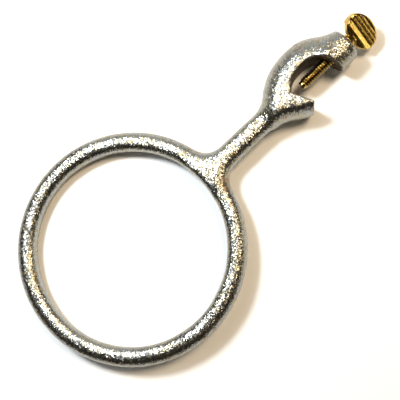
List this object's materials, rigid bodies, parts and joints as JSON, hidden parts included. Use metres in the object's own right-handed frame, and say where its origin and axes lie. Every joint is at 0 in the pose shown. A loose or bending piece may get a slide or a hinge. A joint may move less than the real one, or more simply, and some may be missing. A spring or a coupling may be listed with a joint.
{
  "type": "support ring with rod clamp",
  "caption": "Round support ring on a short stem, ending in an open hook clamp that grips a vertical rod with a brass thumbscrew.",
  "frame": {"origin": "centre of the ring, on the mid-plane of the casting", "axes": "+Z is the ring's axis; +X runs from the ring's centre along the stem and the thumbscrew, towards the screw's head; +Y is the side the back of the hook is on"},
  "size_m": [0.1754, 0.0926, 0.016],
  "materials": {
    "plated_iron": "bright plated rough casting, sparkling grain",
    "brass": "turned and knurled brass, lightly tarnished"
  },
  "bodies": {
    "casting": {"ring_clamp_casting": "plated_iron"},
    "screw_slide": {"screw_point": "brass"},
    "screw": {"thumb_screw": "brass"}
  },
  "joints": [
    {"name": "screw_travel", "type": "slide", "parent": "casting", "child": "screw_slide", "axis": [1, 0, 0], "range_m": [0, 0.0159]},
    {"name": "screw_turn", "type": "hinge", "parent": "screw_slide", "child": "screw", "pos_m": [0.11, 0, 0], "axis": [1, 0, 0], "range_deg": [0, 5400]}
  ],
  "couplings": [
    {"joint": "screw_travel", "follows": "screw_turn", "m_per_rad": 0.00016844}
  ]
}
